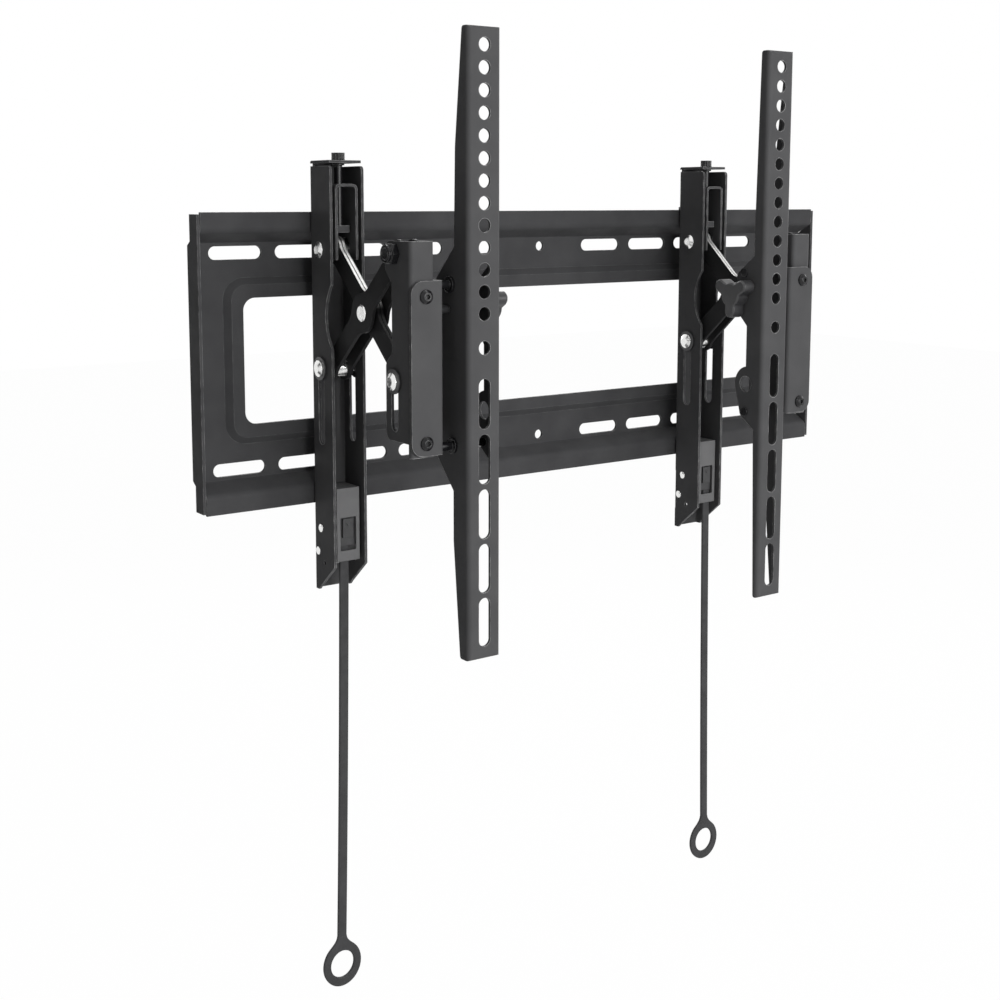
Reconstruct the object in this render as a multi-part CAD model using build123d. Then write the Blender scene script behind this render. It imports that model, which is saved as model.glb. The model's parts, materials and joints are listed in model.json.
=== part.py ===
from build123d import *
import math
import os

# Tilting wall bracket for a flat screen. Millimetres, +Z up, wall plane at Y = 0, screen towards -Y.
# The origin is the centre of the wall plate's back face.
# Each unit is drawn once with the middle of its carriage at X = 0 and its arm towards +X.

# Wall plate
plate_length = 614.0
plate_height = 213.9
plate_sheet = 2.2
rail_stand = 15.0
lip_height = 12.6
joggle_height = 7.6
plate_bend = 3.0
end_gap = 0.5
ear_drop = 1.4
ear_back = 4.5
window_length = 536.0
window_height = 91.5
window_radius = 9.0
border_length = 564.0
border_height = 120.5
border_rise = 4.0
border_slope = 5.0
border_radius = 16.0
slot_row = 78.1
slot_length = 41.2
slot_width = 9.5
slot_pitch = 51.9
slot_start = 43.4
slots_per_side = 5
centre_hole = 7.6

# Where the two units hang along the rails
left_unit_x = -205.9
right_unit_x = 152.2

# Running clearances
pin_play = 0.075
slot_play = 0.3
side_play = 0.2
rail_play = 0.4
level_travel = 2.0

# Carriage channel, measured from the lips of the wall plate
carriage_width = 27.6
carriage_sheet = 2.0
carriage_depth = 30.4
carriage_over = 32.4
carriage_under = 64.0
carriage_corner = 3.0
relief_height = 46.0
relief_depth = 8.7
relief_drop = 4.8
foot_chamfer_z = 18.0
foot_chamfer_y = 21.0
foot_web = 16.0
latch_shelf = 13.7
cap_gap = 2.0
cap_margin = 1.0
cap_overhang = 2.0
cap_strip_margin = 1.0
pin_slot_spare = 22.0

# Scissor linkage
pivot_y = -32.0
pivot_z = 80.0
reach = 95.0
pin_drop = 85.5
fold_travel = 29.5
pin_d = 8.0
leg_end_r = 9.5
leg_strip = 15.0
leg_mid_r = 14.0
leg_end_blend = 8.0
leg_mid_blend = 15.0
outer_leg_sheet = 2.5
inner_leg_sheet = 2.1
inner_leg_gap = 0.6
leg_boss_d = 17.0
leg_boss = 2.1
spacer_d = 11.0
roller_d = 15.0
head_d = 12.0
head_height = 2.6
low_head = 1.3
flush_head = 0.9
washer_d = 17.0
washer_sheet = 1.4

# Front bracket
front_sheet = 2.0
front_depth = 31.5
front_face_y = -147.4
front_top_rise = 8.5
front_bottom_drop = 50.0
front_neck = 8.0
front_lobe_drop = 7.0
front_ear = 2.0
front_corner = 3.0
nut_flats = 13.2
nut_height = 7.0
nut_collar = 2.1
bolt_head_height = 5.0

# Tilt bracket and its pins
tilt_sheet = 2.5
tilt_bend = 1.0
tab_left = -10.4
tab_right = 15.3
tab_top = 62.6
tab_bottom = -54.3
tab_corner = 9.0
tab_screw_x = 1.1
tab_screw_top = 52.2
tab_screw_bottom = -45.6
tab_screw_d = 5.0
tab_screw_head_d = 9.6
tab_screw_head = 2.8
tab_screw_socket = 3.4
tilt_flange_depth = 34.5
tilt_pivot_y = -139.0
tilt_pivot_z = 59.0
guide_y = -142.0
guide_z = -50.3
guide_d = 6.0
guide_head_d = 11.0
guide_head = 2.0
guide_tail_d = 7.4
guide_tail = 0.8
tilt_down = 10.0
tilt_margin = 0.6

# Screen arm
arm_sheet = 2.0
arm_width = 27.0
arm_offset = 41.0
arm_face_y = -160.0
arm_top = 228.0
arm_bottom = -198.0
arm_bend = 3.5
arm_hole_d = 9.3
arm_hole_top = 216.2
arm_hole_pitch = 14.7
arm_holes = 13
arm_single_drop = 22.8
arm_slot_top = -3.9
arm_slot_length = 34.2
arm_slot_pitch = 37.8
arm_slots = 5
arm_corner = 2.0
arm_deep = 38.5
arm_deep_over = 3.5
arm_deep_under = 9.5
arm_tip_depth = 7.0
arm_upper_depth = 15.2
arm_upper_rise = 88.0
arm_shoulder_depth = 16.6
arm_tail_depth = 17.8
arm_tail_length = 35.0
arm_end_depth = 10.0
arm_inner_depth = 11.0
arm_inner_tip = 8.0
arm_inner_tail = 8.5
arm_inner_end = 4.5
arm_inner_drop = 4.5
arm_lobe_depth = 29.0
arm_waist_depth = 17.5
arm_upper_lobe = 13.0
arm_lobe_z = -28.3
arm_lobe_r = 14.0
arm_lobe_hole_d = 12.4
arm_lobe_hole_depth = 17.5

# Clamp knob
knob_y = -135.0
knob_z = 42.0
stud_d = 6.0
stud_end = 1.0
knob_stem_d = 13.0
knob_stem = 1.2
knob_thickness = 11.0
knob_lobe_width = 10.0
knob_reach = 18.0
knob_hub_r = 9.5
knob_blend = 2.5
knob_first_lobe = 30.0
knob_edge = 1.2

# Hook slider and levelling screw
tray_width = 18.2
tray_sheet = 1.8
tray_over = 19.8
tray_under_pivot = 7.0
tray_front = -47.5
tray_corner = 4.0
hook_sheet = 2.0
hook_drop = 9.0
screw_y = -36.0
screw_d = 6.0
screw_head_d = 9.6
screw_head = 5.2
screw_socket = 5.4
screw_collar_d = 9.0
screw_collar = 1.2
nut_block_width = 11.0
nut_block_height = 5.0
knurl_count = 12
knurl_depth = 0.45

# Latch, measured from the lower lip of the wall plate
cover_width = 18.8
cover_sheet = 1.6
cover_front = -44.5
cover_back = -20.2
cover_rise = 14.0
cover_height = 54.2
cover_window_drop = 7.7
cover_window_height = 24.8
cover_window_width = 13.0
cover_window_corner = 1.0
latch_travel = 8.0
latch_play = 0.4
latch_drop = 7.7
latch_body_height = 21.6
latch_body_back = -24.0
latch_foot_height = 6.0
latch_tooth_rise = 5.3
latch_tooth_sheet = 2.2
tongue_width = 8.6
tongue_drop = 1.1
tongue_height = 14.0
arrow_width = 3.2
arrow_height = 2.6
arrow_drop = 3.0
spring_d = 6.4
spring_wire = 0.9
spring_turns = 5.0
spring_facets = 10
spring_pocket = 15.0
spring_y = -30.5
rivet_d = 3.2
rivet_head_d = 6.0
rivet_head = 1.1
rivet_boss_d = 7.0
upper_rivet_y = -28.5
upper_rivet_rise = 23.2
lower_rivet_y = -24.0
lower_rivet_rise = 5.4
spring_hole_y = -33.5
spring_hole_drop = 2.0
spring_hole_d = 3.0

# Pull strap and ring
strap_width = 7.7
strap_sheet = 2.6
strap_y = -41.0
strap_x = -2.0
strap_length = 301.6
strap_lean = -5.8
strap_bow = 1.0
ring_d = 37.0
ring_hole_d = 21.0
ring_neck = 6.0
ring_blend = 3.0

# Places worked out from the sizes above
lip_top = plate_height / 2
lip_bottom = lip_top - lip_height
face_top = lip_bottom - joggle_height
lip_front = -rail_stand - plate_sheet
lip_hook_y = -rail_stand + rail_play
carriage_rear = lip_front - rail_play
carriage_front = carriage_rear - carriage_depth
carriage_web = carriage_rear - carriage_sheet
carriage_inner = carriage_width / 2 - carriage_sheet
carriage_top = lip_top + carriage_over
carriage_bottom = -lip_top - carriage_under
front_pin_y = pivot_y - reach
low_pin_z = pivot_z - pin_drop
leg_middle_y = pivot_y - reach / 2
leg_middle_z = pivot_z - pin_drop / 2
inner_leg_right = inner_leg_sheet + inner_leg_gap / 2
far_leg_left = inner_leg_right + leg_boss + side_play
far_leg_right = far_leg_left + outer_leg_sheet
front_inner = far_leg_right + 1.5 * side_play
front_right = front_inner + front_sheet
front_back_y = front_face_y + front_depth
tab_front_y = front_face_y - tilt_sheet
tab_inner = tab_right - tilt_sheet
arm_left = arm_offset - arm_width / 2
arm_right = arm_offset + arm_width / 2
arm_single_z = arm_hole_top - (arm_holes - 1) * arm_hole_pitch - arm_single_drop
cap_bottom = carriage_top + cap_gap
cap_top = cap_bottom + carriage_sheet
tray_side = tray_width / 2
tray_top = lip_top + tray_over
tray_bottom = pivot_z - tray_under_pivot
nut_block_bottom = pivot_z + leg_end_r + level_travel + 2 * rail_play
cover_side = cover_width / 2
cover_top = -lip_top + cover_rise
cover_bottom = cover_top - cover_height
latch_body_top = -lip_top - latch_drop
latch_body_bottom = latch_body_top - latch_body_height
tongue_top = latch_body_top - tongue_drop
rivet_spots = (
    (upper_rivet_y, cover_bottom + upper_rivet_rise),
    (lower_rivet_y, cover_bottom + lower_rivet_rise),
)
strap_bottom = latch_body_bottom - strap_length
strap_route = (
    (strap_x, latch_body_bottom),
    (strap_x + strap_lean / 2 + strap_bow, latch_body_bottom - strap_length / 2),
    (strap_x + strap_lean, strap_bottom),
)


def block(x0, x1, y0, y1, z0, z1):
    return Pos(x0, y0, z0) * Box(x1 - x0, y1 - y0, z1 - z0, align=(Align.MIN, Align.MIN, Align.MIN))


def side_plate(outline, x0, x1):
    """A flat outline drawn in (Y, Z), given thickness from x0 to x1."""
    return Pos(x0, 0, 0) * extrude(Plane.YZ * outline, x1 - x0)


def front_plate(outline, y0, y1):
    """A flat outline drawn in (X, Z), given thickness from y0 to y1."""
    return Pos(0, y1, 0) * extrude(Plane.XZ * outline, y1 - y0)


def rod(x0, x1, y, z, d):
    """A round bar along X."""
    bar = Cylinder(d / 2, x1 - x0, align=(Align.CENTER, Align.CENTER, Align.MIN))
    return Pos(x0, y, z) * Rot(0, 90, 0) * bar


def tube(x0, x1, y, z, outer, inner):
    return rod(x0, x1, y, z, outer) - rod(x0, x1, y, z, inner)


def low_dome(x0, y, z, d, height, side):
    """A low rivet head whose flat face is at x0, standing out towards side (+1 or -1)."""
    head = Cylinder(d / 2, height, align=(Align.CENTER, Align.CENTER, Align.MIN))
    head = chamfer(head.edges().sort_by(Axis.Z)[-1], height * 0.6, height * 1.1)
    return Pos(x0, y, z) * Rot(0, 90 * side, 0) * head


def upright(x, y, z0, z1, d):
    bar = Cylinder(d / 2, z1 - z0, align=(Align.CENTER, Align.CENTER, Align.MIN))
    return Pos(x, y, z0) * bar


def folded_sheet(points, bend, sheet, side):
    """The section of a folded sheet that follows points, with its thickness on one side."""
    with BuildSketch() as section:
        with BuildLine():
            FilletPolyline(*points, radius=bend)
            offset(amount=sheet, side=side)
        make_face()
    return section.sketch


def fuse_flat(first, *others):
    """One flat outline made of several that overlap."""
    joined = Sketch() + first
    for other in others:
        joined += other
    return joined


def vertical_slot(y, z0, z1, width):
    """An obround drawn in (Y, Z) whose round ends are centred at z0 and z1."""
    return Pos(y, (z0 + z1) / 2) * Rot(0, 0, 90) * SlotCenterToCenter(abs(z1 - z0), width)


def leg_outline(start, end):
    """A scissor leg: round ends and a wide middle on a narrower strip, with smooth hollow flanks."""
    length = math.dist(start, end)
    strip = Rectangle(length, leg_strip)
    eyes = Locations((-length / 2, 0), (length / 2, 0)) * Circle(leg_end_r)
    outline = fuse_flat(strip, *eyes)
    outline = fillet(outline.vertices(), leg_end_blend)
    outline = fuse_flat(outline, Circle(leg_mid_r))
    hollows = [v for v in outline.vertices() if abs(v.X) < leg_mid_r]
    outline = fillet(hollows, leg_mid_blend)
    turn = math.degrees(math.atan2(end[1] - start[1], end[0] - start[0]))
    return Pos((start[0] + end[0]) / 2, (start[1] + end[1]) / 2) * Rot(0, 0, turn) * outline


def tilt_slot(y, z, width):
    """An arc slot about the tilt pivot, as far as a pin at (y, z) travels when the arm tilts."""
    radius = math.hypot(y - tilt_pivot_y, z - tilt_pivot_z)
    start = math.degrees(math.atan2(z - tilt_pivot_z, y - tilt_pivot_y)) - tilt_margin
    sweep_angle = tilt_down + 2 * tilt_margin
    arc = CenterArc((tilt_pivot_y, tilt_pivot_z), radius, start, sweep_angle)
    return SlotArc(arc, width)


def wall_plate():
    half = plate_length / 2
    section = folded_sheet(
        [
            (-rail_stand, lip_top),
            (-rail_stand, lip_bottom),
            (0, face_top),
            (0, -face_top),
            (-rail_stand, -lip_bottom),
            (-rail_stand, -lip_top),
        ],
        plate_bend,
        plate_sheet,
        Side.RIGHT,
    )
    rail_half = half - plate_sheet - end_gap
    plate = side_plate(section, -rail_half, rail_half)

    # Raised border pressed forward around the window
    outer = RectangleRounded(border_length, border_height, border_radius)
    inner_length = border_length - 2 * border_slope
    inner_height = border_height - 2 * border_slope
    inner = RectangleRounded(inner_length, inner_height, border_radius - border_slope)
    back = Plane(origin=(0, 0, 0), x_dir=(1, 0, 0), z_dir=(0, -1, 0))
    press = loft([back * outer, back.offset(border_rise) * inner])
    plate = plate + Pos(0, -plate_sheet, 0) * press - press
    window = RectangleRounded(window_length, window_height, window_radius)
    plate = plate - front_plate(window, -rail_stand, rail_stand)

    # Two rows of slots with one round hole in the middle of each
    for row in (slot_row, -slot_row):
        cuts = Pos(0, row) * Circle(centre_hole / 2)
        for side in (-1, 1):
            for index in range(slots_per_side):
                middle = slot_start + index * slot_pitch + slot_length / 2
                cuts += Pos(side * middle, row) * SlotOverall(slot_length, slot_width)
        plate = plate - front_plate(cuts, -rail_stand / 2, rail_stand / 2)

    # Ends folded forward, with ears that close the rails
    ear_top = lip_top - ear_drop
    ear_root = face_top - plate_bend
    end_outline = make_face(
        Polyline(
            (0, ear_root),
            (-ear_back, face_top),
            (-ear_back, ear_top),
            (lip_front, ear_top),
            (lip_front, -ear_top),
            (-ear_back, -ear_top),
            (-ear_back, -face_top),
            (0, -ear_root),
            close=True,
        )
    )
    for side in (-1, 1):
        fold = side_plate(end_outline, half - plate_sheet, half)
        web = block(rail_half - 1, half, -plate_sheet, 0, -ear_root, ear_root)
        end = fold + web
        if side < 0:
            end = mirror(end, about=Plane.YZ)
        plate = plate + end
    return plate


def carriage():
    middle = (carriage_rear + carriage_front) / 2
    outer = Pos(0, middle) * Rectangle(carriage_width, carriage_depth)
    outer = fillet(outer.vertices().group_by(Axis.Y)[-1], carriage_corner)
    inside_depth = carriage_depth - carriage_sheet
    inner = Pos(0, carriage_front + inside_depth / 2) * Rectangle(2 * carriage_inner, inside_depth)
    inner = fillet(inner.vertices().group_by(Axis.Y)[-1], carriage_corner - carriage_sheet)
    height = carriage_top - carriage_bottom
    channel = Pos(0, 0, carriage_bottom) * extrude(outer - inner, height)

    # Side view of the flanges: chamfered foot and a rounded relief where the scissor's middle folds in
    foot = carriage_front + foot_chamfer_y
    outline = make_face(
        Polyline(
            (carriage_rear, carriage_bottom),
            (carriage_rear, carriage_top),
            (carriage_front, carriage_top),
            (carriage_front, carriage_bottom + foot_chamfer_z + carriage_corner),
            (foot, carriage_bottom + carriage_corner),
            (foot + carriage_corner, carriage_bottom),
            close=True,
        )
    )
    top_front = outline.vertices().sort_by(Axis.Y)[-2:].sort_by(Axis.X)[0]
    outline = fillet([top_front], carriage_corner)
    radius = (relief_height**2 / 4 + relief_depth**2) / (2 * relief_depth)
    outline -= Pos(carriage_front + relief_depth - radius, leg_middle_z - relief_drop) * Circle(radius)
    slot_width = pin_d + 2 * slot_play
    slot_low = low_pin_z - fold_travel - pin_slot_spare
    outline -= vertical_slot(pivot_y, low_pin_z + slot_play, slot_low, slot_width)
    outline -= Pos(pivot_y, pivot_z) * Circle(pin_d / 2)
    outline -= Pos(spring_hole_y, cover_bottom - spring_hole_drop) * Circle(spring_hole_d / 2)
    for spot in rivet_spots:
        outline -= Pos(*spot) * Circle(rivet_d / 2)
    body = channel & side_plate(outline, -carriage_width, carriage_width)

    # Openings in the web for the hook over the upper lip and the latch under the lower one
    web_back = carriage_rear + side_play
    web_front = carriage_web - side_play
    hook_clear = level_travel + rail_play
    hook_low = lip_top + rail_play - hook_clear
    hook_high = lip_top + rail_play + hook_sheet + hook_clear
    inner = carriage_inner
    body -= block(-inner, inner, web_front, web_back, hook_low, hook_high)
    latch_high = -lip_top - rail_play
    shelf = latch_high - latch_shelf
    body -= block(-inner, inner, web_front, web_back, shelf, latch_high)
    wide = carriage_width
    body -= block(-wide, wide, carriage_web, web_back, carriage_bottom + foot_web, shelf)

    # Cap folded forward from the top of the web
    half = carriage_width / 2 - cap_margin
    cap = block(-half, half, carriage_front + cap_overhang, carriage_rear, cap_bottom, cap_top)
    strip = block(
        -carriage_inner + cap_strip_margin,
        carriage_inner - cap_strip_margin,
        carriage_web,
        carriage_rear,
        carriage_top - carriage_sheet,
        cap_top,
    )
    cap = cap + strip
    cap = fillet(cap.edges().filter_by(Axis.X).group_by(Axis.Z)[-1].sort_by(Axis.Y)[-1], carriage_sheet)
    cap -= upright(0, screw_y, cap_bottom, cap_top, screw_d + 2 * slot_play)
    return body + cap


def hook_slider():
    back = carriage_web - rail_play
    front = back - hook_sheet
    outline = Pos(0, (tray_top + tray_bottom) / 2) * Rectangle(tray_width, tray_top - tray_bottom)
    outline = fillet(outline.vertices().group_by(Axis.Y)[-1], tray_corner)
    hollow_top = tray_top - tray_sheet
    hollow = Rectangle(tray_width - 2 * tray_sheet, hollow_top - tray_bottom)
    hollow = Pos(0, (hollow_top + tray_bottom) / 2) * hollow
    hollow = fillet(hollow.vertices().group_by(Axis.Y)[-1], tray_corner - tray_sheet)
    tray = front_plate(outline, tray_front, back) - front_plate(hollow, tray_front, front)

    # Open forks around the pivot spacers, so that the tray can rise and fall
    fork_width = spacer_d + 2 * rail_play
    fork_top = pivot_z + level_travel + 2 * slot_play
    fork = vertical_slot(pivot_y, fork_top, tray_bottom - fork_width, fork_width)
    tray -= side_plate(fork, -tray_width, tray_width)

    # Tapped block for the levelling screw
    nut_top = nut_block_bottom + nut_block_height
    half = nut_block_width / 2
    tray += block(-half, half, screw_y - half, front, nut_block_bottom, nut_top)
    tray -= upright(0, screw_y, nut_block_bottom, nut_top, screw_d + 2 * pin_play)
    tray -= upright(0, screw_y, tray_top - tray_sheet, tray_top, screw_d + 2 * slot_play)

    # Hook over the upper lip
    hook_back = lip_hook_y + hook_sheet
    lip_seat = lip_top + rail_play
    hook = block(-tray_side, tray_side, back, hook_back, lip_seat, lip_seat + hook_sheet)
    hook += block(-tray_side, tray_side, lip_hook_y, hook_back, lip_top - hook_drop, lip_seat)
    return tray + hook


def levelling_screw():
    head_bottom = cap_top + side_play
    groove = PolarLocations(screw_head_d / 2, knurl_count, 180 / knurl_count)
    head = Circle(screw_head_d / 2) - groove * Circle(knurl_depth)
    screw = Pos(0, 0, head_bottom) * extrude(head, screw_head)
    socket = RegularPolygon(screw_socket / 2, 6)
    screw -= Pos(0, 0, head_bottom + screw_head / 2) * extrude(socket, screw_head)
    screw = Pos(0, screw_y, 0) * screw
    screw += upright(0, screw_y, nut_block_bottom, head_bottom, screw_d)
    collar_top = cap_bottom - side_play
    return screw + upright(0, screw_y, collar_top - screw_collar, collar_top, screw_collar_d)


def pivot_rivet():
    left = -carriage_width / 2 - side_play
    right = carriage_width / 2 + side_play
    rivet = rod(left, right, pivot_y, pivot_z, pin_d)
    rivet += low_dome(left, pivot_y, pivot_z, head_d, head_height, -1)
    return rivet + low_dome(right, pivot_y, pivot_z, head_d, head_height, 1)


def pivot_spacers():
    bore = pin_d + 2 * pin_play
    left = tube(-carriage_inner, -inner_leg_right - side_play, pivot_y, pivot_z, spacer_d, bore)
    right = tube(inner_leg_right + side_play, carriage_inner, pivot_y, pivot_z, spacer_d, bore)
    return Compound([left, right])


def inner_leg():
    """Two plates side by side, joined by the boss at the crossing."""
    start = (pivot_y, pivot_z)
    end = (front_pin_y, low_pin_z)
    outline = leg_outline(start, end)
    outline -= Pos(*start) * Circle(pin_d / 2 + pin_play)
    outline -= Pos(*end) * Circle(pin_d / 2)
    leg = side_plate(outline, -inner_leg_right, -inner_leg_gap / 2)
    leg += side_plate(outline, inner_leg_gap / 2, inner_leg_right)
    boss = inner_leg_right + leg_boss
    leg += rod(-boss, boss, leg_middle_y, leg_middle_z, leg_boss_d)
    return leg - rod(-boss, boss, leg_middle_y, leg_middle_z, pin_d + 2 * pin_play)


def outer_legs():
    start = (pivot_y, low_pin_z)
    end = (front_pin_y, pivot_z)
    outline = leg_outline(start, end)
    outline -= Pos(*start) * Circle(pin_d / 2)
    outline -= Pos(*end) * Circle(pin_d / 2 + pin_play)
    outline -= Pos(leg_middle_y, leg_middle_z) * Circle(pin_d / 2)
    near = side_plate(outline, -far_leg_right, -far_leg_left)
    far = side_plate(outline, far_leg_left, far_leg_right)
    return Compound([near, far])


def centre_rivet():
    rivet = rod(-far_leg_right, far_leg_right, leg_middle_y, leg_middle_z, pin_d)
    rivet += low_dome(-far_leg_right, leg_middle_y, leg_middle_z, head_d, flush_head, -1)
    return rivet + low_dome(far_leg_right, leg_middle_y, leg_middle_z, head_d, flush_head, 1)


def washered_pin(half, y, z, far_head):
    """A headed pin along X whose heads stand off both sides of a channel by one washer."""
    seat = half + side_play + washer_sheet
    pin = rod(-seat, seat, y, z, pin_d)
    pin += low_dome(-seat, y, z, head_d, head_height, -1)
    return pin + low_dome(seat, y, z, head_d, far_head, 1)


def washer_pair(half, y, z):
    seat = half + side_play
    near = tube(-seat - washer_sheet, -seat, y, z, washer_d, pin_d)
    far = tube(seat, seat + washer_sheet, y, z, washer_d, pin_d)
    return Compound([near, far])


def roller_pin():
    pin = washered_pin(carriage_width / 2, pivot_y, low_pin_z, head_height)
    return pin + rod(-carriage_inner + side_play, -far_leg_right, pivot_y, low_pin_z, spacer_d)


def roller():
    return tube(-far_leg_left, far_leg_left, pivot_y, low_pin_z, roller_d, pin_d)


def slot_washers():
    return washer_pair(carriage_width / 2, pivot_y, low_pin_z)


def front_bracket():
    top = pivot_z + front_top_rise
    bottom = low_pin_z - front_bottom_drop
    lobe_bottom = low_pin_z - fold_travel - pin_d / 2 - front_lobe_drop
    width = 2 * front_right
    outer = Pos(0, front_face_y + front_depth / 2) * Rectangle(width, front_depth)
    outer = fillet(outer.vertices().group_by(Axis.Y)[0], front_corner)
    inside = front_depth - front_sheet
    inner = Pos(0, front_back_y - inside / 2) * Rectangle(2 * front_inner, inside)
    inner = fillet(inner.vertices().group_by(Axis.Y)[0], front_corner - front_sheet)
    channel = Pos(0, 0, bottom) * extrude(outer - inner, top - bottom)

    # Side view: rounded ears at the two pins, with a narrower neck between them
    neck_y = front_back_y - front_neck
    bend_y = front_face_y + front_corner
    ear = leg_end_r + front_ear
    outline = make_face(
        Polyline(
            (front_face_y, top),
            (front_back_y, top),
            (front_back_y, pivot_z - ear),
            (neck_y, pivot_z - ear - front_neck),
            (neck_y, low_pin_z + ear + front_neck),
            (front_back_y, low_pin_z + ear),
            (front_back_y, lobe_bottom),
            (bend_y, lobe_bottom),
            (bend_y, bottom),
            (front_face_y, bottom),
            close=True,
        )
    )
    ear_corners = outline.vertices().filter_by_position(Axis.X, front_back_y - 0.1, front_back_y + 0.1)
    outline = fillet(ear_corners, front_neck * 0.7)
    slot_width = pin_d + 2 * slot_play
    slot_low = low_pin_z - fold_travel - slot_play
    outline -= vertical_slot(front_pin_y, low_pin_z + slot_play, slot_low, slot_width)
    outline -= Pos(front_pin_y, pivot_z) * Circle(pin_d / 2)
    body = channel & side_plate(outline, -front_right, front_right)
    for z in (tab_screw_top, tab_screw_bottom):
        hole = Pos(tab_screw_x, z) * Circle(tab_screw_d / 2)
        body -= front_plate(hole, front_face_y, front_face_y + front_sheet)
    return body


def hexagon(y, z):
    return Pos(y, z) * RegularPolygon(nut_flats / 2, 6, major_radius=False)


def front_bolt():
    bolt = rod(-front_right - nut_height, front_right, front_pin_y, pivot_z, pin_d)
    return bolt + side_plate(hexagon(front_pin_y, pivot_z), front_right, front_right + bolt_head_height)


def lock_nut():
    outside = -front_right - nut_height
    nut = side_plate(hexagon(front_pin_y, pivot_z), outside + nut_collar, -front_right)
    nut += rod(outside, outside + nut_collar, front_pin_y, pivot_z, head_d)
    return nut - rod(outside, -front_right, front_pin_y, pivot_z, pin_d)


def bolt_spacer():
    half = far_leg_left - side_play
    return tube(-half, half, front_pin_y, pivot_z, spacer_d, pin_d)


def sliding_pin():
    return washered_pin(front_right, front_pin_y, low_pin_z, low_head)


def sliding_spacers():
    outside = front_inner - side_play
    left = tube(-outside, -inner_leg_right, front_pin_y, low_pin_z, spacer_d, pin_d)
    right = tube(inner_leg_right, outside, front_pin_y, low_pin_z, spacer_d, pin_d)
    return Compound([left, right])


def sliding_washers():
    return washer_pair(front_right, front_pin_y, low_pin_z)


def tilt_bracket():
    flange_back = tab_front_y + tilt_flange_depth
    section = folded_sheet(
        [(tab_left, front_face_y), (tab_inner, front_face_y), (tab_inner, flange_back)],
        tilt_bend,
        tilt_sheet,
        Side.RIGHT,
    )
    body = Pos(0, 0, tab_bottom) * extrude(section, tab_top - tab_bottom)
    corners = body.edges().filter_by(Axis.Y).group_by(Axis.X)[0]
    body = fillet(corners, tab_corner)
    back_corners = body.edges().filter_by(Axis.X).group_by(Axis.Y)[-1]
    body = fillet(back_corners, tab_corner)
    for z in (tab_screw_top, tab_screw_bottom):
        hole = Pos(tab_screw_x, z) * Circle(tab_screw_d / 2)
        body -= front_plate(hole, tab_front_y, front_face_y)

    # The arm turns on the pivot pin; its guide pin and the clamp stud run in arc slots
    cuts = Pos(tilt_pivot_y, tilt_pivot_z) * Circle(guide_d / 2 + pin_play)
    cuts += tilt_slot(guide_y, guide_z, guide_d + 2 * slot_play)
    cuts += tilt_slot(knob_y, knob_z, stud_d + 2 * slot_play)
    return body - side_plate(cuts, tab_inner, tab_right)


def tilt_screws():
    grip = tilt_sheet + front_sheet
    screw = upright(0, 0, 0, tab_screw_head, tab_screw_head_d)
    screw = chamfer(screw.edges().sort_by(Axis.Z)[-1], tab_screw_head * 0.6, tab_screw_head * 0.7)
    socket = extrude(RegularPolygon(tab_screw_socket / 2, 6), tab_screw_head)
    screw = screw - Pos(0, 0, tab_screw_head / 3) * socket + upright(0, 0, -grip, 0, tab_screw_d)
    spots = [(tab_screw_x, tab_front_y, z) for z in (tab_screw_top, tab_screw_bottom)]
    return Compound([Pos(*spot) * Rot(90, 0, 0) * screw for spot in spots])


def guide_pins():
    pins = []
    for y, z in ((tilt_pivot_y, tilt_pivot_z), (guide_y, guide_z)):
        pin = rod(tab_inner, arm_right, y, z, guide_d)
        pin += rod(arm_left - guide_head, arm_left, y, z, guide_head_d)
        pins.append(pin + rod(arm_right, arm_right + guide_tail, y, z, guide_tail_d))
    return Compound(pins)


def flange_outline(points):
    outline = make_face(Polyline(*points, close=True))
    return fillet(outline.vertices(), arm_corner)


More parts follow.
